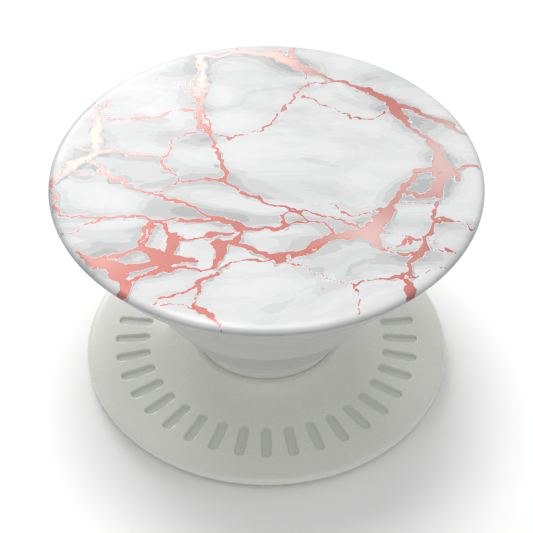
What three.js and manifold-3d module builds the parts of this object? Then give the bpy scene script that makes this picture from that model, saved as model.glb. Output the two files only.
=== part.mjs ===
// Collapsible grip for the back of a hand-held device: a round base with a horn-shaped hub, a stepped
// accordion neck with rigid tiers and thin folding webs, and a twist-off round top with a printed face.
// Millimetres, +Z up. The origin is the centre of the underside, and the neck is fully extended.
import * as THREE from "three";
import { mergeVertices } from "three/addons/utils/BufferGeometryUtils.js";
import Module from "manifold-3d";

const wasm = await Module();
wasm.setup();

// Driving dimensions
const TOP_RADIUS = 19.87; // widest line of the top
const TOP_RIM_Z = 23.14; // height of that line with the neck extended
const TOP_CROWN_Z = 23.95; // highest point of the face
const BASE_RADIUS = 18.08;
const BASE_RIM_Z = 0.9;
const NECK_SEAM = { r: 7.21, z: 3.53 }; // where the accordion leaves the hub
const ROUND_SEGMENTS = 48;
const PIECE_GAP = 0.05; // between pieces that are stacked or moulded together
const WEB_GAP = 0.08; // between a folding web and the tiers that it joins

// Bonded layers under the base
const LINER = { radius: 17, thickness: 0.12, tabWidth: 1.4, tabReach: 17.45 };
const ADHESIVE = { radius: 17, bottom: 0.14, top: 0.53 };

// Base plate
const BASE = { bottom: 0.58, bottomRadius: 17.5, edgeTop: 1.34, recessRadius: 8.5, recessTop: 1.82 };
const MARK = { count: 21, radius: 13.5, length: 3.4, width: 0.95, depth: 0.26, arcDegrees: 200 };

// Accordion: each tier is a short upright wall, and the web below it slopes in to the tier before
const FOOT = { flangeRadius: 8.2, innerRadius: 6.3, bottom: 0.97, flangeTop: 1.72, top: 4.3 };
const TIERS = [
  { name: "tier_1", outer: 9.14, inner: 8.45, bottom: 6.83, top: 8.15 },
  { name: "tier_2", outer: 11.71, inner: 10.95, bottom: 11.07, top: 12.6 },
  { name: "tier_3", outer: 13.65, inner: 12.95, bottom: 15.75, top: 17.1 },
];
const HEAD = { outer: 15.2, inner: 14.4, bottom: 18.6, roof: 21, roofInner: 8, plateSeat: 21.35, top: 22.48 };
const WEB_THICKNESS = 0.46;
const DRAFT = 0.09; // how much a tier narrows from its lower edge to its upper one

// Twist lock
const PLATE = { radius: 14.7, bottom: 21.42, top: 22.3, lipRadius: 13.8 };
const KEY = { postRadius: 2.6, wingReach: 4.8, wingWidth: 3.2, wingBottom: 20.3, wingTop: 21.3 };
const KEY_CLEARANCE = 0.3;

// Top
const CARRIER = { footOuter: 17.14, footInner: 15.55, foot: 19.48, ceiling: 22.66, roofTop: 22.98, wall: 1 };
const SHELL = {
  shoulderRadius: 18.6,
  shoulderDrop: 0.34,
  thickness: 0.75,
  skirt: 22.66,
  filmThickness: 0.12,
};

const point = (r, z) => new THREE.Vector2(r, z);

// A closed ring or disc: the profile runs up its outside and down its inside.
function turned(profile) {
  const onAxis = profile[0].x === 0;
  const outline = onAxis ? profile : [...profile, profile[0].clone()];
  return new THREE.LatheGeometry(outline, ROUND_SEGMENTS).rotateX(Math.PI / 2);
}

function prism(shape, bottom, height, curveSegments = 8) {
  const geometry = new THREE.ExtrudeGeometry(shape, { depth: height, bevelEnabled: false, curveSegments });
  return geometry.translate(0, 0, bottom);
}

function toSolid(geometry) {
  const bare = geometry.clone();
  bare.deleteAttribute("normal");
  bare.deleteAttribute("uv");
  const merged = mergeVertices(bare, 1e-4);
  return new wasm.Manifold(
    new wasm.Mesh({
      numProp: 3,
      vertProperties: merged.attributes.position.array,
      triVerts: new Uint32Array(merged.index.array),
    }),
  );
}

function toGeometry(solid) {
  const mesh = solid.getMesh();
  return new THREE.BufferGeometry()
    .setAttribute("position", new THREE.BufferAttribute(new Float32Array(mesh.vertProperties), 3))
    .setIndex(new THREE.BufferAttribute(new Uint32Array(mesh.triVerts), 1));
}

// A bar with round ends along X, centred on the origin.
function stadium(length, width) {
  const half = length / 2 - width / 2;
  const shape = new THREE.Shape();
  shape.absarc(half, 0, width / 2, -Math.PI / 2, Math.PI / 2);
  shape.absarc(-half, 0, width / 2, Math.PI / 2, (3 * Math.PI) / 2);
  shape.closePath();
  return shape;
}

// The pull tab is a short tongue on the liner's front edge.
function releaseLiner() {
  const disc = turned([point(0, 0), point(LINER.radius, 0), point(LINER.radius, LINER.thickness),
    point(0, LINER.thickness)]);
  const overlap = 1;
  const length = LINER.tabReach - LINER.radius + overlap;
  const tab = new THREE.BoxGeometry(LINER.tabWidth, length, LINER.thickness);
  tab.translate(0, -(LINER.tabReach - length / 2), LINER.thickness / 2);
  return toGeometry(toSolid(disc).add(toSolid(tab)));
}

function adhesivePad() {
  const { radius, bottom, top } = ADHESIVE;
  return turned([point(0, bottom), point(radius, bottom), point(radius, top), point(0, top)]);
}

// Height of the base's upper face: nearly flat at the rim and rising in a horn to the seam.
function baseTopZ(r) {
  const rise = NECK_SEAM.z - BASE.edgeTop - 0.1;
  return BASE.edgeTop + rise * Math.pow((NECK_SEAM.r + 0.6) / r, 4.2) + 0.1 * (1 - r / BASE_RADIUS);
}

function basePlate() {
  const horn = [17.55, 15.5, 13.5, 11.8, 10.5, 9.6, 8.9, 8.35, 7.95].map((r) => point(r, baseTopZ(r)));
  const profile = [
    point(BASE.recessRadius, BASE.bottom),
    point(BASE.bottomRadius, BASE.bottom),
    point(BASE_RADIUS, BASE_RIM_Z),
    point(BASE_RADIUS - 0.05, 1.12),
    point(17.85, 1.29),
    ...horn,
    point(7.62, NECK_SEAM.z),
    point(NECK_SEAM.r + 0.1, NECK_SEAM.z),
    point(NECK_SEAM.r + 0.1, BASE.recessTop),
    point(BASE.recessRadius, BASE.recessTop),
  ];
  // The debossed bars are all alike, and their floors follow the slope of the horn.
  let plate = toSolid(turned(profile));
  const reach = MARK.length / 2;
  const slope = Math.atan2(baseTopZ(MARK.radius - reach) - baseTopZ(MARK.radius + reach), MARK.length);
  for (let i = 0; i < MARK.count; i++) {
    const angle = -90 - MARK.arcDegrees / 2 + (MARK.arcDegrees * i) / (MARK.count - 1);
    const cutter = prism(stadium(MARK.length, MARK.width), -MARK.depth, 1.5, 4)
      .rotateY(slope)
      .translate(MARK.radius, 0, baseTopZ(MARK.radius))
      .rotateZ(THREE.MathUtils.degToRad(angle));
    plate = plate.subtract(toSolid(cutter));
  }
  return toGeometry(plate);
}

// Rigid washer that traps the accordion's flange in the base.
function footRetainer() {
  const inner = 3;
  const outer = BASE.recessRadius - 0.1;
  const top = FOOT.bottom - PIECE_GAP;
  return turned([point(inner, BASE.bottom), point(outer, BASE.bottom), point(outer, top), point(inner, top)]);
}

function accordionFoot() {
  return turned([
    point(FOOT.innerRadius, FOOT.bottom),
    point(FOOT.flangeRadius, FOOT.bottom),
    point(FOOT.flangeRadius, FOOT.flangeTop),
    point(NECK_SEAM.r, FOOT.flangeTop),
    point(NECK_SEAM.r, FOOT.top - 0.2),
    point(NECK_SEAM.r - 0.15, FOOT.top),
    point(FOOT.innerRadius, FOOT.top),
  ]);
}

function accordionTier(tier) {
  const lip = 0.08;
  return turned([
    point(tier.inner, tier.bottom),
    point(tier.outer - lip, tier.bottom),
    point(tier.outer, tier.bottom + lip),
    point(tier.outer - DRAFT, tier.top - lip),
    point(tier.outer - DRAFT - lip, tier.top),
    point(tier.inner, tier.top),
  ]);
}

// Thin sloping web from the top of one tier to the underside of the next.
function foldingWeb(lowerOuter, lowerTop, upperOuter, upperBottom) {
  const bottom = lowerTop + WEB_GAP;
  const top = upperBottom - WEB_GAP;
  const footR = lowerOuter - DRAFT;
  const headR = upperOuter - 0.2;
  return turned([
    point(footR - WEB_THICKNESS, bottom),
    point(footR, bottom),
    point(headR, top),
    point(headR - WEB_THICKNESS, top),
  ]);
}

// Upper end of the accordion, moulded round the edge of the keyed plate.
function accordionHead() {
  return turned([
    point(HEAD.inner, HEAD.bottom),
    point(HEAD.outer - 0.08, HEAD.bottom),
    point(HEAD.outer, HEAD.bottom + 0.08),
    point(HEAD.outer, HEAD.top - 0.15),
    point(HEAD.outer - 0.15, HEAD.top),
    point(PLATE.lipRadius, HEAD.top),
    point(PLATE.lipRadius, PLATE.top + PIECE_GAP),
    point(PLATE.radius + PIECE_GAP, PLATE.top + PIECE_GAP),
    point(PLATE.radius + PIECE_GAP, HEAD.plateSeat),
    point(HEAD.roofInner, HEAD.plateSeat),
    point(HEAD.roofInner, HEAD.roof),
    point(HEAD.inner, HEAD.roof),
  ]);
}

// Rigid plate with a keyed hole: the wings enter along X and lock along Y.
function headPlate() {
  const { radius, bottom, top } = PLATE;
  const disc = turned([point(0, bottom), point(radius, bottom), point(radius, top), point(0, top)]);
  const cutHeight = top - bottom + 2;
  const bore = new THREE.Shape().absarc(0, 0, KEY.postRadius + KEY_CLEARANCE, 0, 2 * Math.PI);
  const slot = stadium(2 * (KEY.wingReach + KEY_CLEARANCE), KEY.wingWidth + 2 * KEY_CLEARANCE);
  const boreCut = toSolid(prism(bore, bottom - 1, cutHeight, 24));
  const cut = boreCut.add(toSolid(prism(slot, bottom - 1, cutHeight)));
  return toGeometry(toSolid(disc).subtract(cut));
}

// Centre post with two wings, welded to the carrier's roof.
function bayonetKey() {
  const { postRadius, wingReach, wingWidth, wingBottom, wingTop } = KEY;
  const top = CARRIER.ceiling - PIECE_GAP;
  const postCircle = new THREE.Shape().absarc(0, 0, postRadius, 0, 2 * Math.PI);
  const post = prism(postCircle, wingBottom, top - wingBottom, 24);
  const wingShape = stadium(2 * wingReach, wingWidth);
  const wings = prism(wingShape, wingBottom, wingTop - wingBottom).rotateZ(Math.PI / 2);
  return toGeometry(toSolid(post).add(toSolid(wings)));
}

// Underside of the top: a bowl whose foot ring surrounds the folded neck.
function topCarrier() {
  const { footOuter, footInner, foot, ceiling, roofTop, wall } = CARRIER;
  const edgeR = 19.42;
  const edgeZ = SHELL.skirt - PIECE_GAP;
  return turned([
    point(0, ceiling),
    point(footInner, ceiling),
    point(footInner, foot + 0.2),
    point(footInner + 0.2, foot),
    point(footOuter - 0.2, foot),
    point(footOuter, foot + 0.18),
    point((footOuter + edgeR) / 2 + 0.08, (foot + edgeZ) / 2),
    point(edgeR, edgeZ),
    point(edgeR - wall, edgeZ),
    point(footOuter - 0.1, foot + wall),
    point(footInner + wall, foot + wall),
    point(footInner + wall, roofTop),
    point(0, roofTop),
  ]);
}

// Outer face of the top, lowered by an offset: a shallow crown that rolls over to the rim.
function crownProfile(offset) {
  const { shoulderRadius, shoulderDrop } = SHELL;
  const crown = [0, 6, 11, 15, shoulderRadius].map((r) =>
    point(r, TOP_CROWN_Z - offset - shoulderDrop * (r / shoulderRadius) ** 2));
  const shoulderZ = TOP_CROWN_Z - shoulderDrop;
  const roll = [25, 50, 72, 90].map((degrees) => {
    const angle = THREE.MathUtils.degToRad(degrees);
    return point(
      shoulderRadius + (TOP_RADIUS - offset - shoulderRadius) * Math.sin(angle),
      TOP_RIM_Z + (shoulderZ - offset - TOP_RIM_Z) * Math.cos(angle),
    );
  });
  return [...crown, ...roll];
}

function topShell() {
  const skin = crownProfile(SHELL.filmThickness + 0.03).reverse();
  const under = TOP_CROWN_Z - SHELL.filmThickness - SHELL.thickness;
  return turned([
    point(0, under),
    point(17.4, under - 0.05),
    point(18.6, SHELL.skirt),
    point(19.42, SHELL.skirt),
    point(TOP_RADIUS - 0.2, SHELL.skirt + 0.2),
    ...skin,
  ]);
}

// Printed film, formed over the crown and round the rim.
function printedFilm() {
  const outside = crownProfile(0);
  const inside = crownProfile(SHELL.filmThickness);
  return turned([...inside, ...outside.reverse()]);
}

const MATERIALS = {
  paper: new THREE.MeshStandardMaterial({ color: "#e9e4d6", roughness: 0.8, metalness: 0 }),
  foam: new THREE.MeshStandardMaterial({ color: "#c9ccc9", roughness: 0.7, metalness: 0 }),
  basePlastic: new THREE.MeshStandardMaterial({ color: "#d3d5cf", roughness: 0.35, metalness: 0 }),
  elastomer: new THREE.MeshStandardMaterial({ color: "#b9bcb8", roughness: 0.45, metalness: 0 }),
  insertPlastic: new THREE.MeshStandardMaterial({ color: "#8f9290", roughness: 0.4, metalness: 0 }),
  topPlastic: new THREE.MeshStandardMaterial({ color: "#e6e6e4", roughness: 0.25, metalness: 0 }),
  print: new THREE.MeshStandardMaterial({ color: "#e4dedc", roughness: 0.12, metalness: 0.05 }),
};

const group = new THREE.Group();

function add(name, geometry, material) {
  const mesh = new THREE.Mesh(geometry, MATERIALS[material].clone());
  mesh.name = name;
  group.add(mesh);
}

add("release_liner", releaseLiner(), "paper");
add("adhesive_pad", adhesivePad(), "foam");
add("base_plate", basePlate(), "basePlastic");
add("foot_retainer", footRetainer(), "insertPlastic");
add("accordion_foot", accordionFoot(), "elastomer");

const folds = [
  { outer: NECK_SEAM.r + DRAFT, top: FOOT.top },
  ...TIERS,
  { outer: HEAD.outer, bottom: HEAD.bottom },
];
TIERS.forEach((tier) => add(tier.name, accordionTier(tier), "elastomer"));
for (let i = 1; i < folds.length; i++) {
  const web = foldingWeb(folds[i - 1].outer, folds[i - 1].top, folds[i].outer, folds[i].bottom);
  add(`web_${i}`, web, "elastomer");
}

add("accordion_head", accordionHead(), "elastomer");
add("head_plate", headPlate(), "insertPlastic");
add("bayonet_key", bayonetKey(), "insertPlastic");
add("top_carrier", topCarrier(), "topPlastic");
add("top_shell", topShell(), "topPlastic");
add("printed_film", printedFilm(), "print");

export default group;
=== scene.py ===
import math

import bmesh
import bpy
import numpy as np
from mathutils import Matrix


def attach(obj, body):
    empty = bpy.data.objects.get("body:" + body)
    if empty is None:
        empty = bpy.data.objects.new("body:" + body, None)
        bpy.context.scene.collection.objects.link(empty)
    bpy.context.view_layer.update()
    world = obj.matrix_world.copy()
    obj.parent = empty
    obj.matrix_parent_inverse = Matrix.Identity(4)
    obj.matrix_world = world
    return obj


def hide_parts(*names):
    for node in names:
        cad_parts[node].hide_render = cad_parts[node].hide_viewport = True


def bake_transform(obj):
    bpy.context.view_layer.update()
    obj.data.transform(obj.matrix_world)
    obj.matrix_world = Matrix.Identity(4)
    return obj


# A stick-on phone grip, standing open on a pale table. Everything is in metres in the frame's own axes,
# and the settings below are in millimetres.
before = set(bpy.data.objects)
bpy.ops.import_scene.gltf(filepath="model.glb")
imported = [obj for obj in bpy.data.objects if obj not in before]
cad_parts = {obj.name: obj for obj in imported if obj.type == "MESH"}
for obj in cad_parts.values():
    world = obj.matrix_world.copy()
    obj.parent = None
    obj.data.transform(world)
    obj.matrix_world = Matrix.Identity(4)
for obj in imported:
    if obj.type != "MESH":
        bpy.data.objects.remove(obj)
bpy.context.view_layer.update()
mm = 0.001


def note(words):
    print("grip:", words)


# Small helpers for meshes

def eased(corners, steps=6):
    # Closed outline through (radius, height, easing) corners. Each corner is replaced by a quadratic curve
    # that starts and ends the easing distance away from it along its two edges.
    pts = np.array([c[:2] for c in corners], float)
    ease = np.array([c[2] for c in corners], float)
    outline = []
    for i, corner in enumerate(pts):
        before, after = pts[i - 1], pts[(i + 1) % len(pts)]
        if ease[i] <= 0:
            outline.append(corner[None, :])
            continue
        a = corner + (before - corner) / np.linalg.norm(before - corner) * ease[i]
        b = corner + (after - corner) / np.linalg.norm(after - corner) * ease[i]
        t = np.linspace(0, 1, steps)[:, None]
        outline.append((1 - t) ** 2 * a + 2 * t * (1 - t) * corner + t**2 * b)
    return np.vstack(outline)


def filled(outline, spacing):
    # The same closed outline with extra points, so that no edge is longer than the spacing.
    rows = []
    for a, b in zip(outline, np.roll(outline, -1, axis=0)):
        count = max(1, int(math.ceil(np.linalg.norm(b - a) / spacing)))
        t = np.arange(count)[:, None] / count
        rows.append(a + (b - a) * t)
    return np.vstack(rows)


def around(outline, columns):
    # Surface of revolution: point (i, j) is outline point i turned by angle j about +Z, in millimetres.
    angle = np.arange(columns) * 2 * math.pi / columns
    r, z = outline[:, :1], outline[:, 1:]
    return np.stack([r * np.cos(angle), r * np.sin(angle), z + 0 * angle], axis=2)


def gridPiece(name, points, sharpDegrees=38):
    # Closed skin over a grid of points (rows, columns, 3) that wraps both ways, given in millimetres.
    rows, columns = points.shape[:2]
    i, j = np.meshgrid(np.arange(rows), np.arange(columns), indexing="ij")
    nextRow, nextColumn = (i + 1) % rows, (j + 1) % columns
    corners = [i * columns + j, nextRow * columns + j, nextRow * columns + nextColumn,
               i * columns + nextColumn]
    faces = np.stack(corners, axis=2).reshape(-1, 4)
    mesh = bpy.data.meshes.new(name)
    mesh.from_pydata((points.reshape(-1, 3) * mm).tolist(), [], faces.tolist())
    build = bmesh.new()
    build.from_mesh(mesh)
    bmesh.ops.remove_doubles(build, verts=build.verts, dist=1e-8)
    bmesh.ops.recalc_face_normals(build, faces=build.faces)
    build.to_mesh(mesh)
    build.free()
    mesh.shade_smooth()
    mesh.set_sharp_from_angle(angle=math.radians(sharpDegrees))
    piece = bpy.data.objects.new(name, mesh)
    bpy.context.scene.collection.objects.link(piece)
    return piece


def millimetres(piece):
    # The piece's vertices as an array of millimetres.
    flat = np.empty(len(piece.data.vertices) * 3)
    piece.data.vertices.foreach_get("co", flat)
    return flat.reshape(-1, 3) / mm


def store(piece, name, values):
    layer = piece.data.attributes.new(name, "FLOAT", "POINT")
    layer.data.foreach_set("value", np.asarray(values, np.float32))


def waves(x, y, seed, longest, shortest, count=22):
    # Smooth noise about -1 to 1: a sum of sine waves with seeded directions and wavelengths in millimetres.
    draw = np.random.default_rng(seed)
    total = np.zeros_like(x)
    for _ in range(count):
        length = shortest * (longest / shortest) ** draw.random()
        heading, phase = draw.random(2) * 2 * math.pi
        total += np.sin((x * math.cos(heading) + y * math.sin(heading)) * 2 * math.pi / length + phase)
    return total / math.sqrt(count / 2) / 1.6


# Small helpers for materials

def toLinear(hexCode, alpha=1.0):
    channels = [int(hexCode[k:k + 2], 16) / 255 for k in (1, 3, 5)]
    return [c / 12.92 if c <= 0.04045 else ((c + 0.055) / 1.055) ** 2.4 for c in channels] + [alpha]


def addNode(tree, kind, inputs=None, bands=(), **settings):
    # inputs maps a socket's name or number to a constant or to the output socket that feeds it. bands are a
    # colour ramp's flat steps as (position, hex colour), which is how a separated print lays its tones.
    node = tree.nodes.new(kind)
    for key, value in settings.items():
        setattr(node, key, value)
    if bands:
        node.color_ramp.interpolation = "CONSTANT"
        while len(node.color_ramp.elements) < len(bands):
            node.color_ramp.elements.new(0.5)
        for element, (position, colour) in zip(node.color_ramp.elements, bands):
            element.position, element.color = position, toLinear(colour)
    for key, value in (inputs or {}).items():
        if isinstance(value, bpy.types.NodeSocket):
            tree.links.new(value, node.inputs[key])
        else:
            node.inputs[key].default_value = value
    return node


def startMaterial(name, inputs):
    # A material with one Principled shader; inputs are constants by socket name.
    material = bpy.data.materials.new(name)
    material.use_nodes = True
    tree = material.node_tree
    tree.nodes.clear()
    shader = addNode(tree, "ShaderNodeBsdfPrincipled", inputs)
    addNode(tree, "ShaderNodeOutputMaterial", {"Surface": shader.outputs[0]})
    return material, tree, shader


# The print: knots are where foil veins meet, fork, swell or leave the face, given to the nearest
# half millimetre (x, y), with the front edge at -y
knots = {
    "backLeft": (-2.5, 18.5), "backRim": (0.5, 18), "backBand": (3.5, 15.5), "backTaper": (7, 13.5),
    "backSplitLeft": (1, 19.5), "backSplitRight": (3, 19.5), "backFork": (4, 13), "backHair": (1.5, 8.5),
    "middleHair": (-1, 5.5), "curlStart": (3.5, 11), "curlTurn": (6, 9.5), "curlFoot": (8, 7.5),
    "eastFork": (12, 10), "eastRim": (19, 5.5), "eastNeck": (14.5, 5.5), "eastBlotTop": (16, 3),
    "eastBlot": (16, 0.5), "eastBlotFoot": (15.5, -2.5), "eastSpur": (19.5, 1), "eastHook": (17.5, -1),
    "armTop": (13.5, 0), "armFoot": (12, -3), "sideHigh": (15, -4.5), "sideTop": (15, -6.5),
    "sideFork": (14, -8.5), "sideKnot": (13.5, -10.5), "sideSpur": (17, -6.5), "sideRim": (18, -7.5),
    "lowTwig": (16.5, -10.5), "lowerTwig": (15.5, -12), "curveEnd": (12, -13.5), "dropRim": (12, -15.5),
    "heart": (9, -8), "heartFoot": (9.5, -9.5), "heartWest": (6, -8.5), "netLeft": (10.5, -8),
    "netRight": (12.5, -9), "southKnot": (7.5, -14.5), "southRim": (7.5, -18), "southHair": (4, -13),
    "swoopStart": (6, -5), "swoopFoot": (8.5, -6), "crossing": (-4, -1.5), "crossMiddle": (0, -4.5),
    "crossFork": (3, -5.5), "crossEnd": (5, -7), "pebble": (1.5, -7.5), "bandKnot": (-2, -7.5),
    "bandShoulder": (-4.5, -6.5), "lowBand": (3, -10.5), "lowKnot": (1, -11.5), "post": (-4, -9.5),
    "postFoot": (-4.5, -12.5), "barb": (-5, -8.5), "northRim": (-6.5, 17.5), "northFork": (-6.5, 9.5),
    "northBend": (-5.5, 5.5), "northNeck": (-4.5, 3), "northSwell": (-3.5, 0), "northHair": (-11, 14),
    "westSide": (-9, 4.5), "westFork": (-9.5, 1.5), "westFoot": (-8, -1.5), "westBlotTop": (-16, 8),
    "westBlot": (-16, 6), "westLow": (-15.5, 3), "westLeft": (-16.5, 10.5), "westRight": (-15.5, 10.5),
    "westTail": (-16.5, 2), "westSpread": (-18, 1), "westRim": (-19.5, -1), "westPool": (-15, 0),
    "westTwig": (-19, 4), "ladder": (-10.5, -3), "leftBlot": (-19, -4.5), "leftStart": (-18.5, -6),
    "leftSplit": (-14.5, -6), "leftLow": (-18, -8), "knee": (-10, -6.5), "kneeFoot": (-11, -10),
    "blotTop": (-8, -9), "blotHeart": (-8.5, -11.5), "blotFoot": (-8.5, -12.5), "blotTail": (-6, -11.5),
    "slabRim": (-16.5, -10.5), "slab": (-13, -12.5), "slabNeck": (-12, -14), "slabFoot": (-12, -15.5),
    "slabSpur": (-15, -12.5), "elbow": (-3, -12), "elbowFork": (-6, -14.5), "stem": (-6, -16.5),
    "stemSpur": (-5, -17.5), "stemRim": (-3.5, -19.5), "twigBend": (-9, -16), "twigRim": (-9.5, -17),
}

# strands join two knots: half width at each in millimetres, and how far the middle bows to the left
strands = [
    # back edge to the right edge, and down its right side
    ("backLeft", "backRim", 0.25, 0.6, 0), ("backRim", "backBand", 0.65, 0.5, 0.1),
    ("backBand", "backTaper", 0.5, 0.15, 0), ("backSplitLeft", "backBand", 0.1, 0.2, -0.2),
    ("backSplitRight", "backBand", 0.15, 0.2, -0.6), ("backTaper", "eastFork", 0.15, 0.6, 0.4),
    ("eastFork", "eastRim", 0.5, 0.25, 0.3), ("eastFork", "eastNeck", 0.5, 0.2, -0.2),
    ("eastNeck", "eastBlotTop", 0.25, 0.6, 0.1), ("eastBlotTop", "eastBlot", 0.65, 0.7, 0),
    ("eastBlot", "eastBlotFoot", 0.7, 0.5, 0.1), ("eastBlot", "eastSpur", 0.2, 0.15, 0),
    ("eastBlot", "eastHook", 0.4, 0.1, 0.3), ("eastBlot", "armTop", 0.4, 0.25, 0.1),
    ("armTop", "armFoot", 0.2, 0.45, 0.1), ("armFoot", "eastBlotFoot", 0.25, 0.35, -0.3),
    ("eastBlotFoot", "sideHigh", 0.4, 0.2, 0), ("sideHigh", "sideTop", 0.15, 0.2, 0.1),
    ("sideTop", "sideFork", 0.15, 0.2, 0), ("sideFork", "sideKnot", 0.2, 0.3, 0),
    ("sideKnot", "curveEnd", 0.3, 0.2, -0.4), ("sideTop", "sideSpur", 0.2, 0.1, 0.1),
    ("sideSpur", "sideRim", 0.06, 0.08, 0.2), ("sideTop", "lowTwig", 0.07, 0.06, -1.3),
    ("sideKnot", "lowTwig", 0.06, 0.06, 0.3), ("curveEnd", "lowerTwig", 0.07, 0.06, -0.2),
    ("curveEnd", "dropRim", 0.12, 0.4, 0), ("curveEnd", "southKnot", 0.2, 0.07, -0.4),
    # the large blot at the right and the veins that meet in it
    ("armFoot", "heart", 0.35, 0.4, 0.1), ("heart", "heartFoot", 0.9, 0.4, 0),
    ("heartFoot", "sideKnot", 0.15, 0.1, -0.6), ("heart", "netLeft", 0.4, 0.12, 0),
    ("netLeft", "netRight", 0.08, 0.08, -0.2), ("netRight", "sideFork", 0.08, 0.08, 0),
    ("heartFoot", "netRight", 0.12, 0.06, -0.5), ("heart", "heartWest", 0.6, 0.3, 0),
    ("heartWest", "lowBand", 0.3, 0.25, 0), ("heartWest", "lowKnot", 0.12, 0.1, 0.6),
    ("lowBand", "lowKnot", 0.25, 0.3, 0), ("lowKnot", "post", 0.3, 0.3, -0.4),
    ("crossEnd", "heartWest", 0.08, 0.12, 0.1), ("crossFork", "heart", 0.08, 0.12, 0.5),
    ("lowKnot", "southHair", 0.08, 0.06, 0.2), ("southHair", "southKnot", 0.06, 0.07, -0.3),
    ("southKnot", "southRim", 0.06, 0.08, 0.2), ("swoopStart", "swoopFoot", 0.08, 0.05, -0.4),
    ("swoopFoot", "armFoot", 0.05, 0.06, -0.6), ("swoopFoot", "sideHigh", 0.05, 0.05, 0.7),
    # across the middle
    ("crossing", "crossMiddle", 0.2, 0.12, 0.1), ("crossMiddle", "crossFork", 0.14, 0.1, 0.1),
    ("crossFork", "pebble", 0.1, 0.18, -0.9), ("crossFork", "crossEnd", 0.12, 0.08, -0.5),
    ("pebble", "bandKnot", 0.12, 0.25, 0.4), ("crossEnd", "pebble", 0.1, 0.15, -0.5),
    ("bandKnot", "bandShoulder", 0.35, 0.3, -0.1), ("bandKnot", "barb", 0.12, 0.3, 0.3),
    ("bandKnot", "post", 0.15, 0.35, 0.7), ("post", "postFoot", 0.5, 0.18, 0.1),
    ("barb", "blotTop", 0.1, 0.15, 0), ("postFoot", "blotFoot", 0.12, 0.15, 0),
    # back edge down the left side
    ("northRim", "northFork", 0.4, 0.25, 0.3), ("northRim", "northFork", 0.08, 0.08, -0.6),
    ("northRim", "backLeft", 0.25, 0.15, 0), ("northFork", "northBend", 0.28, 0.22, -0.3),
    ("northFork", "northBend", 0.1, 0.08, 0.4), ("northBend", "northNeck", 0.2, 0.08, 0),
    ("northNeck", "northSwell", 0.12, 0.32, -0.3), ("northSwell", "crossing", 0.32, 0.25, 0.1),
    ("northHair", "northFork", 0.06, 0.08, 0.9), ("northBend", "middleHair", 0.08, 0.06, -0.7),
    ("middleHair", "backHair", 0.06, 0.07, -0.2), ("backHair", "backFork", 0.08, 0.12, 0.2),
    ("backFork", "backBand", 0.06, 0.1, 0), ("backFork", "backTaper", 0.05, 0.08, 0),
    ("curlStart", "curlTurn", 0.07, 0.12, -0.1), ("curlTurn", "curlFoot", 0.06, 0.1, 0.2),
    ("curlFoot", "eastFork", 0.06, 0.06, -0.8),
    # left side, running in from the edge
    ("westLeft", "westBlotTop", 0.12, 0.25, -0.2), ("westRight", "westBlotTop", 0.1, 0.15, 0.2),
    ("westBlotTop", "westBlot", 0.4, 0.5, -0.1), ("westBlot", "westLow", 0.45, 0.3, -0.1),
    ("westBlotTop", "northFork", 0.12, 0.1, -0.9), ("westLow", "westTwig", 0.08, 0.06, 0.2),
    ("westLow", "westFork", 0.2, 0.08, 0.2), ("westLow", "westTail", 0.3, 0.3, 0),
    ("westTail", "westSpread", 0.35, 0.5, 0.1), ("westSpread", "westRim", 0.4, 0.3, 0.1),
    ("westTail", "westPool", 0.15, 0.22, 0), ("westSpread", "westPool", 0.12, 0.12, -0.6),
    ("westPool", "ladder", 0.28, 0.16, -0.1), ("ladder", "bandShoulder", 0.1, 0.2, 0.2),
    ("ladder", "westFoot", 0.08, 0.08, -0.2), ("westFoot", "crossing", 0.1, 0.2, 0.3),
    ("westFork", "westFoot", 0.12, 0.07, 0.1), ("westFork", "westSide", 0.06, 0.08, -0.1),
    ("westSide", "northBend", 0.07, 0.08, 0.2), ("westRim", "leftBlot", 0.08, 0.15, 0.2),
    ("leftBlot", "leftStart", 0.25, 0.1, 0.3), ("leftStart", "leftSplit", 0.08, 0.12, 0.2),
    ("leftSplit", "knee", 0.15, 0.16, 0.2), ("leftLow", "leftSplit", 0.08, 0.1, -0.4),
    ("knee", "bandShoulder", 0.14, 0.18, -0.1), ("knee", "kneeFoot", 0.25, 0.14, -0.2),
    ("knee", "kneeFoot", 0.12, 0.1, 0.4), ("knee", "blotTop", 0.1, 0.15, 0.2),
    # lower left blots
    ("slabRim", "slab", 0.12, 0.85, 0.1), ("slab", "slabNeck", 0.7, 0.35, 0),
    ("slabNeck", "slabFoot", 0.3, 0.5, 0.1), ("slabSpur", "slab", 0.12, 0.15, -0.1),
    ("slabRim", "kneeFoot", 0.12, 0.25, -0.9), ("kneeFoot", "blotHeart", 0.3, 0.65, 0),
    ("slab", "blotHeart", 0.5, 0.45, -0.2), ("blotHeart", "blotTail", 0.6, 0.1, 0),
    ("blotHeart", "blotFoot", 0.5, 0.4, 0), ("blotTop", "blotHeart", 0.65, 0.2, 0),
    ("slabNeck", "blotFoot", 0.08, 0.3, -0.2), ("slabNeck", "postFoot", 0.06, 0.06, 0.5),
    # bottom, running out to the front edge
    ("lowKnot", "elbow", 0.1, 0.12, 0), ("elbow", "elbowFork", 0.14, 0.2, 0.2),
    ("elbowFork", "stem", 0.2, 0.17, 0.1), ("stem", "stemSpur", 0.17, 0.22, 0.1),
    ("stemSpur", "stemRim", 0.2, 0.1, 0), ("elbowFork", "twigBend", 0.14, 0.06, 0.3),
    ("twigBend", "twigRim", 0.08, 0.1, 0), ("stemSpur", "twigRim", 0.06, 0.08, -0.4),
]


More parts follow.
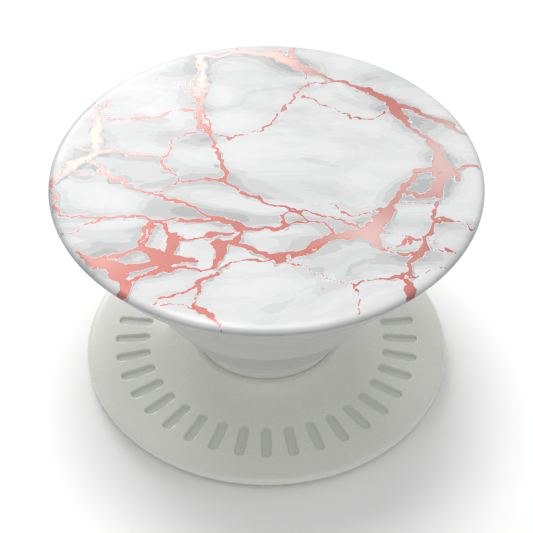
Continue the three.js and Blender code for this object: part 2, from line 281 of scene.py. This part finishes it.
def strandLine(start, end, startHalf, endHalf, bow, pieces=5):
    # The strand as (x, y, half width) points along a quadratic arc through its bowed middle.
    a, b = np.array(knots[start], float), np.array(knots[end], float)
    left = np.array([a[1] - b[1], b[0] - a[0]]) / np.linalg.norm(b - a)
    t = np.linspace(0, 1, pieces + 1)[:, None]
    line = a + (b - a) * t + left * bow * 4 * t * (1 - t)
    return np.hstack([line, startHalf + (endHalf - startHalf) * t])


foilVeins = [strandLine(*strand) for strand in strands]

# painted reflection: spots where the foil is painted paler, as the lights would show in it: x, y, spread and
# strength
paintedSheenSpots = [(16, 1, 4, 0.85), (9, -8.5, 2.6, 0.8), (0, 18, 4.5, 0.9), (-7.5, 16, 5, 1.0),
             (-17.5, 3, 6, 0.95), (-15, -10.5, 2.5, 0.3), (19, 6, 2.5, 0.6)]


def veinField(x, y, veins, finest=0.0):
    # Signed reach into the foil in millimetres: the half width of the nearest vein, blended along each
    # straight stretch, less the distance to it. Above zero is foil. Veins finer than the given half width
    # shrink away.
    reach = np.full_like(x, -9.0)
    for vein in veins:
        for (ax, ay, aw), (bx, by, bw) in zip(vein, vein[1:]):
            dx, dy = bx - ax, by - ay
            t = np.clip(((x - ax) * dx + (y - ay) * dy) / (dx * dx + dy * dy), 0, 1)
            gap = np.hypot(x - ax - t * dx, y - ay - t * dy)
            half = np.maximum(aw + (bw - aw) * t, 0.07)
            reach = np.maximum(reach, half - 3 * np.maximum(finest - half, 0) - gap)
    return reach


def veinCrowd(x, y, veins):
    # How much foil lies near each point, 0 to about 1: every stretch adds its area, spread over 1.3 mm.
    crowd = np.zeros_like(x)
    for vein in veins:
        for (ax, ay, aw), (bx, by, bw) in zip(vein, vein[1:]):
            square = (x - (ax + bx) / 2) ** 2 + (y - (ay + by) / 2) ** 2
            crowd += math.hypot(bx - ax, by - ay) * (aw + bw) / 2 * np.exp(-square / (2 * 1.3**2))
    return np.minimum(crowd / 2.2, 1)


faceSize = {"radius": 19.87, "rimZ": 23.14, "crownZ": 23.95, "shoulder": 18.6, "drop": 0.34, "film": 0.12,
            "wrap": 126, "columns": 600, "rings": 130}


def crownHeight(r):
    return faceSize["crownZ"] - faceSize["drop"] * (r / faceSize["shoulder"]) ** 2


def crownLine(inset, rings):
    # Half profile from the axis to the rim: a parabola out to the shoulder, then an ellipse that runs on a
    # little past its widest point. The inset moves it down and in by the film's thickness.
    s = faceSize
    r = np.linspace(0, s["shoulder"], rings)
    crown = np.column_stack([r, crownHeight(r) - inset])
    angle = np.radians(np.linspace(0, s["wrap"], 16)[1:])
    top = crownHeight(s["shoulder"]) - inset
    roll = np.column_stack([s["shoulder"] + (s["radius"] - inset - s["shoulder"]) * np.sin(angle),
                            s["rimZ"] + (top - s["rimZ"]) * np.cos(angle)])
    return np.vstack([crown, roll])


printWarp = [(0.2, 5.0, 2.4), (0.16, 2.2, 0.8), (0.045, 0.7, 0.35)]  # reach, longest and shortest wave


def makeFace():
    # The printed film: crowned skin over its own inner side, closed at the rim, with the print's fields,
    # a painted reflection on the foil and painted shade at the rim stored on its points.
    outside = crownLine(0, faceSize["rings"])
    inside = crownLine(faceSize["film"], 3)
    face = gridPiece("printed_face", around(np.vstack([inside, outside[::-1]]), faceSize["columns"]))
    x, y, _ = millimetres(face).T
    # each strand is a plain arc, so its wander and ragged edges come from warping the face under it
    wiggleX, wiggleY = (along + sum(reach * waves(x, y, seed + k, longest, shortest)
                                    for k, (reach, longest, shortest) in enumerate(printWarp))
                        for along, seed in ((x, 30), (y, 40)))
    # holes and notches split the broader veins into strands
    holes = 0.17 * np.maximum(waves(x, y, 9, 1.6, 0.55) - 0.35, 0)
    foil = veinField(wiggleX, wiggleY, foilVeins) + 0.015 + 0.02 * waves(x, y, 7, 1.6, 0.5)
    shadow = veinField(wiggleX - 0.1, wiggleY + 0.14, foilVeins, finest=0.2) + 0.08
    store(face, "foilReach", foil - np.where(foil > 0.1, holes, 0))
    # painted reflection of the lights on the foil, strongest at the listed spots
    pale = sum(weight * np.exp(-((x - px) ** 2 + (y - py) ** 2) / (2 * spread**2))
               for px, py, spread, weight in paintedSheenSpots)
    store(face, "foilPaintedSheen", np.minimum(pale, 1))
    # painted shade, rising towards the rim's edge
    store(face, "rimPaintedShade", np.clip((np.hypot(x, y) - 19.3) / 0.57, 0, 1) ** 1.6)
    store(face, "veinCrowd", veinCrowd(x, y, foilVeins))
    store(face, "shadowReach", shadow + 0.2 * waves(x, y, 8, 3.5, 1.0))
    return face


def clearCoatedPrint():
    # Polyester film, offset-printed with marble in flat greys and hot-stamped with rose-gold foil, under a
    # clear hard coat: crisp print, mirror-like foil, one sharp reflection over both.
    material, tree, shader = startMaterial("clearCoatedPrint", {"Coat Weight": 0.4, "Coat Roughness": 0.25,
                                                                "Coat IOR": 1.5})
    place = addNode(tree, "ShaderNodeTexCoord").outputs["Object"]
    # marble drifts along X: bands about 6 mm long and 2 mm deep, in flat steps of grey
    long = addNode(tree, "ShaderNodeMapping", {"Vector": place, "Scale": (85, 200, 85)})
    bands = addNode(tree, "ShaderNodeTexNoise",
                    {"Vector": long.outputs[0], "Scale": 1.0, "Detail": 4.0, "Roughness": 0.45,
                     "Distortion": 0.8})
    foil = addNode(tree, "ShaderNodeAttribute", attribute_name="foilReach").outputs["Fac"]
    shadow = addNode(tree, "ShaderNodeAttribute", attribute_name="shadowReach").outputs["Fac"]
    # greys deepen close to a vein, and more where much foil lies together
    crowd = addNode(tree, "ShaderNodeAttribute", attribute_name="veinCrowd").outputs["Fac"]
    near = addNode(tree, "ShaderNodeMapRange",
                   {"Value": foil, "From Min": -1.6, "From Max": 0.0, "To Min": 0.0, "To Max": 0.05})
    pull = addNode(tree, "ShaderNodeMath", {0: crowd, 1: 0.24, 2: near.outputs[0]}, operation="MULTIPLY_ADD")
    deep = addNode(tree, "ShaderNodeMath", {0: bands.outputs["Fac"], 1: pull.outputs[0]}, operation="ADD")
    greys = addNode(tree, "ShaderNodeValToRGB", {"Fac": deep.outputs[0]},
                    [(0.0, "#E4E4E4"), (0.43, "#E2E2E2"), (0.51, "#DEDFDF"), (0.6, "#D5D6D6"),
                     (0.68, "#C6C7C7"), (0.77, "#B4B6B6")]).outputs["Color"]
    # a second, wider plate of pale tone overlaps the first, so that their edges cross
    wide = addNode(tree, "ShaderNodeMapping", {"Vector": place, "Location": (3.1, 1.7, 0.4),
                                               "Scale": (60, 150, 60)})
    drift = addNode(tree, "ShaderNodeTexNoise",
                    {"Vector": wide.outputs[0], "Scale": 1.0, "Detail": 5.0, "Roughness": 0.5,
                     "Distortion": 1.1})
    plate = addNode(tree, "ShaderNodeValToRGB", {"Fac": drift.outputs["Fac"]},
                    [(0.0, "#FFFFFF"), (0.48, "#FAFAFA"), (0.57, "#F5F5F5"),
                     (0.64, "#EEEFEF")]).outputs["Color"]
    marble = addNode(tree, "ShaderNodeMix", {"Factor": 1.0, "A": greys, "B": plate}, data_type="RGBA",
                     blend_type="MULTIPLY").outputs["Result"]
    ragged = addNode(tree, "ShaderNodeTexNoise",
                     {"Vector": place, "Scale": 4200.0, "Detail": 2.0, "Roughness": 0.6})
    jitter = addNode(tree, "ShaderNodeMapRange",
                     {"Value": ragged.outputs["Fac"], "From Min": 0.3, "From Max": 0.7, "To Min": -0.04,
                      "To Max": 0.04})
    edge = addNode(tree, "ShaderNodeMath", {0: foil, 1: jitter.outputs[0]}, operation="ADD").outputs[0]
    isFoil = addNode(tree, "ShaderNodeMapRange",
                     {"Value": edge, "From Min": -0.012, "From Max": 0.012}).outputs[0]
    isOutline = addNode(tree, "ShaderNodeMapRange",
                        {"Value": edge, "From Min": -0.07, "From Max": -0.05}).outputs[0]
    isShadow = addNode(tree, "ShaderNodeMapRange",
                       {"Value": shadow, "From Min": -0.04, "From Max": 0.0}).outputs[0]
    shaded = addNode(tree, "ShaderNodeMix",
                     {"Factor": isShadow, "A": marble, "B": toLinear("#B4B9BB")}, data_type="RGBA")
    outlined = addNode(tree, "ShaderNodeMix",
                       {"Factor": isOutline, "A": shaded.outputs["Result"], "B": toLinear("#D9E7EC")},
                       data_type="RGBA")
    # the foil is deeper in colour along its edges and in hairlines
    inward = addNode(tree, "ShaderNodeMapRange", {"Value": edge, "From Min": 0.03, "From Max": 0.11})
    # painted reflection: the foil runs paler where the stored painted sheen is strong
    pale = addNode(tree, "ShaderNodeAttribute", attribute_name="foilPaintedSheen").outputs["Fac"]
    broad = addNode(tree, "ShaderNodeMix",
                    {"Factor": pale, "A": toLinear("#C97A6F"), "B": toLinear("#EACCC5")}, data_type="RGBA")
    fine = addNode(tree, "ShaderNodeMix",
                   {"Factor": pale, "A": toLinear("#D06253"), "B": toLinear("#E6A398")}, data_type="RGBA")
    foilTint = addNode(tree, "ShaderNodeMix",
                       {"Factor": inward.outputs[0], "A": fine.outputs["Result"],
                        "B": broad.outputs["Result"]}, data_type="RGBA")
    printed = addNode(tree, "ShaderNodeMix",
                      {"Factor": isFoil, "A": outlined.outputs["Result"], "B": foilTint.outputs["Result"]},
                      data_type="RGBA")
    # painted shade: the film is darkened towards the rim's edge, where the rim turns away from the lights
    rim = addNode(tree, "ShaderNodeAttribute", attribute_name="rimPaintedShade").outputs["Fac"]
    grey = addNode(tree, "ShaderNodeMix",
                   {"Factor": rim, "A": toLinear("#FFFFFF"), "B": toLinear("#C3C5C4")}, data_type="RGBA")
    rimShadedPrint = addNode(tree, "ShaderNodeMix",
                   {"Factor": 1.0, "A": printed.outputs["Result"], "B": grey.outputs["Result"]},
                   data_type="RGBA", blend_type="MULTIPLY")
    tree.links.new(rimShadedPrint.outputs["Result"], shader.inputs["Base Color"])
    metal = addNode(tree, "ShaderNodeMath", {0: isFoil, 1: 0.36}, operation="MULTIPLY")
    tree.links.new(metal.outputs[0], shader.inputs["Metallic"])
    gloss = addNode(tree, "ShaderNodeMapRange", {"Value": isFoil, "To Min": 0.42, "To Max": 0.34})
    tree.links.new(gloss.outputs[0], shader.inputs["Roughness"])
    # the stamped foil stands a few hundredths of a millimetre proud
    bump = addNode(tree, "ShaderNodeBump", {"Height": isFoil, "Strength": 0.25, "Distance": 0.00003})
    tree.links.new(bump.outputs[0], shader.inputs["Normal"])
    return material


def mottled(name, colours, roughness, grain, bumpHeight, inputs, shadeAttribute=None):
    # Shared build of the moulded plastics and rubbers: a faint drift between two shades over about 5 mm,
    # and the mould's fine texture with the given grain size in millimetres. The last argument names a
    # stored value where painted shade darkens the colour.
    roughnessSwing = 0.015
    material, tree, shader = startMaterial(name, inputs)
    place = addNode(tree, "ShaderNodeTexCoord").outputs["Object"]
    drift = addNode(tree, "ShaderNodeTexNoise", {"Vector": place, "Scale": 200.0, "Detail": 3.0})
    tint = addNode(tree, "ShaderNodeMix", {"Factor": drift.outputs["Fac"], "A": toLinear(colours[0]),
                                           "B": toLinear(colours[1])}, data_type="RGBA")
    colour = tint.outputs["Result"]
    if shadeAttribute:
        # painted shade: the colour is darkened where the stored value is high
        recessShade = addNode(tree, "ShaderNodeAttribute", attribute_name=shadeAttribute).outputs["Fac"]
        colour = addNode(tree, "ShaderNodeMix", {"Factor": recessShade, "A": colour, "B": toLinear("#D6D8D2")},
                         data_type="RGBA").outputs["Result"]
    tree.links.new(colour, shader.inputs["Base Color"])
    texture = addNode(tree, "ShaderNodeTexNoise",
                      {"Vector": place, "Scale": 1 / (grain * mm), "Detail": 3.0, "Roughness": 0.6})
    shine = addNode(tree, "ShaderNodeMapRange", {"Value": texture.outputs["Fac"], "From Min": 0.3,
                                                 "From Max": 0.7, "To Min": roughness - roughnessSwing,
                                                 "To Max": roughness + roughnessSwing})
    tree.links.new(shine.outputs[0], shader.inputs["Roughness"])
    bump = addNode(tree, "ShaderNodeBump", {"Height": texture.outputs["Fac"], "Strength": 0.3,
                                            "Distance": bumpHeight * mm})
    tree.links.new(bump.outputs[0], shader.inputs["Normal"])
    return material


note("materials")
printFilm = clearCoatedPrint()
# Injection-moulded polycarbonate, polished tool: hard, milky, one clean highlight
polishedCoat = {"IOR": 1.58, "Coat Weight": 0.3, "Coat Roughness": 0.12}
glossPolycarbonate = mottled("glossPolycarbonate", ("#DCDDDB", "#D8D9D7"), 0.24, 0.2, 0.0001, polishedCoat)
# The same polycarbonate with painted shade for the underside under the disc: a greyer white, the same
# highlight
shadedUndersidePolycarbonate = mottled("shadedUndersidePolycarbonate", ("#BFC0BE", "#B9BAB8"), 0.26, 0.2, 0.0001, polishedCoat)
# Injection-moulded polycarbonate, fine satin tool: pale grey-green, softly glossy, with painted shade in the
# mark floors
satinPolycarbonate = mottled("satinPolycarbonate", ("#E8E9E3", "#E4E5DF"), 0.27, 0.12, 0.00012,
                             {"IOR": 1.58, "Coat Weight": 0.2, "Coat Roughness": 0.2}, "markFloor")
# Thermoplastic elastomer from a polished tool: rubbery, satin, a broad soft highlight
mouldedElastomer = mottled("mouldedElastomer", ("#CACBC8", "#C5C6C3"), 0.3, 0.15, 0.0003, {"IOR": 1.5})
# The same elastomer with painted light for the lower walls next to the base: paler, painted as lit by light
# bounced off the base
bounceLitElastomer = mottled("bounceLitElastomer", ("#E6E7E2", "#E0E1DC"), 0.3, 0.15, 0.0003, {"IOR": 1.5})
# Closed-cell acrylic foam tape: matt, pitted at its cut edge
acrylicFoam = mottled("acrylicFoam", ("#C4C8C6", "#AEB3B1"), 0.75, 0.12, 0.02, {"IOR": 1.48})
# Silicone-coated glassine: thin, satin, faintly fibrous
glassinePaper = mottled("glassinePaper", ("#EAE4D2", "#E0D9C4"), 0.45, 0.2, 0.006, {"IOR": 1.5})
# Glass-filled nylon, spark-eroded tool: grey and matt
mouldedNylon = mottled("mouldedNylon", ("#8E918F", "#858886"), 0.5, 0.15, 0.008, {"IOR": 1.53})


def finish(piece, material, body, slotName, *nodes):
    piece.data.materials.append(material)
    if nodes:
        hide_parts(*nodes)
    if body:
        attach(piece, body)
    return piece


note("top")
face = makeFace()
finish(face, printFilm, "top", "printed_film", "printed_film")

shellSize = {"skirt": 22.66, "under": 23.08, "columns": 360}


def makeShell():
    # The hard disc under the film: its crown follows the film's inner side, and its skirt shows as the
    # pale line under the rim.
    s = shellSize
    crown = crownLine(faceSize["film"] + 0.02, 30)[::-1]
    under = np.array([(0, s["under"]), (17.4, s["under"] - 0.05), (18.6, s["skirt"] + 0.05),
                      (18.65, s["skirt"]), (19.3, s["skirt"]), (19.34, s["skirt"] + 0.03)])
    return gridPiece("top_disc", around(np.vstack([under, crown]), s["columns"]))


finish(makeShell(), glossPolycarbonate, "top", "top_plastic", "top_shell")

bowlSize = {"footOuter": 17.14, "footInner": 15.55, "foot": 19.48, "edgeR": 19.36, "edgeZ": 22.68,
            "ceiling": 22.66, "roof": 22.98, "wall": 1.0, "bulge": 0.16, "columns": 360}


def makeBowl():
    # Underside of the top: an outer wall that bulges slightly on its way up from the foot ring to the rim.
    s = bowlSize
    t = np.linspace(0, 1, 14)[1:-1]
    bulge = s["bulge"] * np.sin(math.pi * t)
    wall = [(s["footOuter"] + (s["edgeR"] - s["footOuter"]) * a + b,
             s["foot"] + (s["edgeZ"] - s["foot"]) * a - b, 0) for a, b in zip(t, bulge)]
    corners = [(s["footInner"], s["ceiling"], 0.15), (s["footInner"], s["foot"], 0.18),
               (s["footOuter"], s["foot"], 0.3), *wall, (s["edgeR"], s["edgeZ"], 0.05),
               (s["edgeR"] - s["wall"], s["edgeZ"], 0.05), (s["footOuter"] - 0.1, s["foot"] + s["wall"], 0.2),
               (s["footInner"] + s["wall"], s["foot"] + s["wall"], 0.2),
               (s["footInner"] + s["wall"], s["roof"], 0.05)]
    outline = np.vstack([[(0, s["ceiling"])], filled(eased(corners), 0.4)[:-1], [(0, s["roof"])]])
    return gridPiece("top_underside", around(outline, s["columns"]))


finish(makeBowl(), shadedUndersidePolycarbonate, "top", "top_plastic", "top_carrier")

note("neck")
draft = 0.09
neckTiers = [
    {"name": "tier_1", "body": "lower_tier", "outer": 9.14, "inner": 8.45, "bottom": 6.83, "top": 8.15},
    {"name": "tier_2", "body": "middle_tier", "outer": 11.71, "inner": 10.95, "bottom": 11.07, "top": 12.6},
    {"name": "tier_3", "body": "upper_tier", "outer": 13.65, "inner": 12.95, "bottom": 15.75, "top": 17.1},
]
footSize = {"seamR": 7.21, "inner": 6.3, "flangeR": 8.2, "bottom": 0.97, "flangeTop": 1.72, "top": 4.3}
headSize = {"outer": 15.2, "inner": 14.4, "bottom": 18.6, "roof": 21.16, "roofInner": 8.0, "seat": 21.35,
            "top": 22.48, "plateR": 14.75, "plateTop": 22.35, "lipR": 13.8}
neckColumns = 288
webSize = {"thickness": 0.46, "overlap": 0.1, "headStep": 0.2, "swing": 0.45, "thinning": 0.3, "rows": 22}


def makeTier(tier):
    corners = [(tier["inner"], tier["bottom"], 0.1), (tier["outer"], tier["bottom"], 0.1),
               (tier["outer"] - draft, tier["top"], 0.16), (tier["inner"], tier["top"], 0.1)]
    return gridPiece(tier["name"] + "_wall", around(filled(eased(corners), 0.3), neckColumns))


for tier in neckTiers:
    finish(makeTier(tier), mouldedElastomer, tier["body"], "neck_elastomer", tier["name"])


def makeFoot():
    s = footSize
    corners = [(s["inner"], s["bottom"], 0.05), (s["flangeR"], s["bottom"], 0.05),
               (s["flangeR"], s["flangeTop"], 0.05), (s["seamR"], s["flangeTop"], 0.05),
               (s["seamR"], s["top"], 0.2), (s["inner"], s["top"], 0.1)]
    return gridPiece("neck_foot", around(filled(eased(corners), 0.3), neckColumns))


finish(makeFoot(), bounceLitElastomer, "base", "neck_elastomer", "accordion_foot")


def makeHead():
    # Ring with a thin roof. When the neck is folded flat, the second web arches up to just under the roof.
    s = headSize
    corners = [(s["inner"], s["bottom"], 0.1), (s["outer"], s["bottom"], 0.12), (s["outer"], s["top"], 0.2),
               (s["lipR"], s["top"], 0.05), (s["lipR"], s["plateTop"], 0.03),
               (s["plateR"], s["plateTop"], 0.03), (s["plateR"], s["seat"], 0.03),
               (s["roofInner"], s["seat"], 0.05),
               (s["roofInner"], s["roof"], 0.1), (s["inner"], s["roof"], 0.3)]
    return gridPiece("neck_head", around(filled(eased(corners), 0.4), neckColumns))


finish(makeHead(), mouldedElastomer, "head", "neck_elastomer", "accordion_head")


def makeWeb(name, low, high):
    # Folding web: its middle line leaves the lower wall upright, swings out and meets the next wall's
    # underside. It runs a little way into both walls, so that no gap opens when it folds.
    s = webSize
    t = np.linspace(0, 1, s["rows"])
    r0 = low["outer"] - draft - s["thickness"] / 2
    r1 = high["outer"] - s["headStep"] - s["thickness"] / 2
    z0, z1 = low["top"], high["bottom"]
    swing = t * t * (3 - 2 * t) * s["swing"] + t * (1 - s["swing"])
    middle = np.column_stack([r0 + (r1 - r0) * swing, z0 + (z1 - z0) * t])
    middle = np.vstack([[(r0, z0 - s["overlap"])], middle, [(r1, z1 + s["overlap"])]])
    along = np.gradient(middle, axis=0)
    across = np.column_stack([along[:, 1], -along[:, 0]]) / np.linalg.norm(along, axis=1)[:, None]
    waist = 1 - s["thinning"] * np.sin(math.pi * np.linspace(0, 1, len(middle)))
    half = s["thickness"] / 2 * waist[:, None]
    outline = np.vstack([middle + across * half, (middle - across * half)[::-1]])
    return gridPiece(name, around(outline, neckColumns))


stages = [{"outer": footSize["seamR"] + draft, "top": footSize["top"], "body": "base"}, *neckTiers,
          {"outer": headSize["outer"], "bottom": headSize["bottom"], "body": "head"}]
for count, (low, high) in enumerate(zip(stages, stages[1:]), start=1):
    web = makeWeb(f"fold_{count}", low, high)
    # the first web, next to the base, takes the copy with painted light
    finish(web, bounceLitElastomer if count == 1 else mouldedElastomer, None, "neck_elastomer", f"web_{count}")
    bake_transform(web)

note("base")
baseSize = {"radius": 18.08, "rimZ": 0.9, "bottom": 0.58, "bottomR": 17.5, "edgeTop": 1.34, "seamR": 7.21,
            "seamZ": 3.53, "recessR": 8.5, "recessTop": 1.82, "columns": 1080}
markSize = {"count": 21, "radius": 13.5, "length": 3.4, "width": 0.95, "depth": 0.26, "arc": 200,
            "wall": 0.13}  # arc in degrees, centred on the front


def hornHeight(r):
    # The horn rises to the seam as a steep power of one over the radius, over a slight even slope.
    s = baseSize
    rise = s["seamZ"] - s["edgeTop"] - 0.1
    return s["edgeTop"] + rise * ((s["seamR"] + 0.6) / r) ** 4.2 + 0.1 * (1 - r / s["radius"])


def markDepth(x, y):
    # Debossed bars, all alike: each is a round-ended slot that lies along a radius, and the wall of the
    # slot is a smooth step.
    s = markSize
    r, angle = np.hypot(x, y), np.degrees(np.arctan2(y, x)) + 90
    angle = (angle + 180) % 360 - 180
    pitch = s["arc"] / (s["count"] - 1)
    first = -s["arc"] / 2
    nearest = first + pitch * np.clip(np.round((angle - first) / pitch), 0, s["count"] - 1)
    off = np.radians(angle - nearest)
    alongBar, acrossBar = r * np.cos(off) - s["radius"], r * np.sin(off)
    half = (s["length"] - s["width"]) / 2
    gap = np.hypot(np.maximum(np.abs(alongBar) - half, 0), acrossBar) - s["width"] / 2
    t = np.clip(0.5 - gap / s["wall"], 0, 1)
    return s["depth"] * t * t * (3 - 2 * t)


def makeBase():
    s = baseSize
    horn = np.concatenate([np.linspace(17.62, 15.4, 6)[:-1], np.linspace(15.4, 11.6, 46)[:-1],
                           np.linspace(11.6, 7.9, 18)])
    flare = np.column_stack([horn, hornHeight(horn)])
    lip = [(7.84, 3.43), (7.77, 3.475), (7.68, 3.51), (7.58, 3.53), (7.42, 3.53), (7.3, 3.53), (7.25, 3.51),
           (7.23, 3.46), (7.23, 1.9), (7.23, s["recessTop"]), (s["recessR"], s["recessTop"]),
           (s["recessR"], s["bottom"]), (13.0, s["bottom"]), (s["bottomR"] - 0.05, s["bottom"])]
    edge = [(s["bottomR"], s["bottom"] + 0.02), (17.95, 0.78), (18.05, 0.86), (s["radius"], s["rimZ"] + 0.02),
            (s["radius"], 1.04), (18.05, 1.15), (17.98, 1.25), (17.87, 1.33), (17.76, 1.38)]
    points = around(np.vstack([flare, lip, edge]), s["columns"])
    points[: len(flare), :, 2] -= markDepth(points[: len(flare), :, 0], points[: len(flare), :, 1])
    base = gridPiece("base_disc", points)
    x, y, z = millimetres(base).T
    store(base, "markFloor", markDepth(x, y) / markSize["depth"] * (z > s["rimZ"]))
    return base


finish(makeBase(), satinPolycarbonate, "base", "base_plastic", "base_plate")


adhesiveSize = {"radius": 17.0, "bottom": 0.14, "top": 0.53, "inner": 3.0, "edge": 0.06, "columns": 240}


def makeAdhesive():
    # Flat disc with a slightly rounded cut edge.
    s = adhesiveSize
    corners = [(s["radius"], s["bottom"], s["edge"]), (s["radius"], s["top"], s["edge"]),
               (s["inner"], s["top"], s["edge"] / 2)]
    outline = np.vstack([[(0, s["bottom"])], eased(corners), [(0, s["top"])]])
    return gridPiece("adhesive_disc", around(outline, s["columns"]))


finish(makeAdhesive(), acrylicFoam, "base", "adhesive_foam", "adhesive_pad")

linerSize = {"radius": 17.0, "reach": 17.45, "halfWidth": 0.7, "corner": 0.1, "top": 0.12, "columns": 720}


def makeLiner():
    # Disc whose edge runs out into a short tongue at the front: the radius grows to the tongue's reach
    # within its half width of the front line.
    s = linerSize
    outline = np.array([(0, 0), (0.5, 0), (0.98, 0), (1, 0.02), (1, s["top"] - 0.02), (0.98, s["top"]),
                        (0.5, s["top"]), (0, s["top"])])
    points = around(outline, s["columns"])
    angle = np.arange(s["columns"]) * 2 * math.pi / s["columns"]
    side = np.abs(np.cos(angle) * s["radius"])
    front = np.sin(angle) < 0
    t = np.clip((s["halfWidth"] + s["corner"] - side) / (2 * s["corner"]), 0, 1) * front
    edgeR = s["radius"] + (s["reach"] - s["radius"]) * t * t * (3 - 2 * t)
    points[:, :, :2] *= edgeR[None, :, None]
    return gridPiece("liner_disc", points)


finish(makeLiner(), glassinePaper, "liner", "liner_paper", "release_liner")

for nodeName in ("foot_retainer", "head_plate", "bayonet_key"):
    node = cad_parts[nodeName]
    node.data.materials.clear()
    node.data.materials.append(mouldedNylon)

note("floor, lights and camera")
bpy.ops.mesh.primitive_plane_add(size=3, location=(0, 0, -0.00002))
floor = bpy.context.object
floor.name = "table"
# Matt white paint, rolled: even and without a highlight
paint = startMaterial("mattPaint", {"Base Color": toLinear("#FFFFFF"), "Roughness": 0.6})[0]
floor.data.materials.append(paint)

world = bpy.data.worlds.new("studio")
bpy.context.scene.world = world
world.use_nodes = True
world.node_tree.nodes["Background"].inputs["Color"].default_value = toLinear("#FFFFFF")
world.node_tree.nodes["Background"].inputs["Strength"].default_value = 0.54

# softboxes: place and target in metres, size in metres, power in watts
softboxes = [
    {"name": "overhead", "place": (-0.05, 0.2, 0.71), "size": 0.3, "power": 2.1},
    {"name": "back_left", "place": (-0.24, 0.82, 0.44), "size": 0.46, "power": 2.2},
    {"name": "front_high", "place": (0.04, -0.30, 0.62), "size": 0.35, "power": 0.32},
]
for box in softboxes:
    light = bpy.data.lights.new(box["name"], "AREA")
    light.shape = "DISK"
    light.size = box["size"]
    light.energy = box["power"]
    lamp = bpy.data.objects.new(box["name"], light)
    bpy.context.scene.collection.objects.link(lamp)
    lamp.location = box["place"]
    aim = np.array((0, 0, 0.015)) - np.array(box["place"])
    dip = math.acos(-aim[2] / np.linalg.norm(aim))
    lamp.rotation_euler = (dip, 0, math.atan2(aim[1], aim[0]) - math.pi / 2)

cameraSetup = {"distance": 0.15074, "elevation": 44.41, "targetZ": 0.01169, "lens": 105.41}
cameraData = bpy.data.cameras.new("camera")
cameraData.lens = cameraSetup["lens"]
cameraData.sensor_width = 36
camera = bpy.data.objects.new("camera", cameraData)
bpy.context.scene.collection.objects.link(camera)
tilt = math.radians(cameraSetup["elevation"])
camera.location = (0, -cameraSetup["distance"] * math.cos(tilt),
                   cameraSetup["targetZ"] + cameraSetup["distance"] * math.sin(tilt))
camera.rotation_euler = (math.pi / 2 - tilt, 0, 0)
cameraData.clip_start = 0.005
bpy.context.scene.camera = camera
bpy.context.scene.view_settings.view_transform = "Standard"
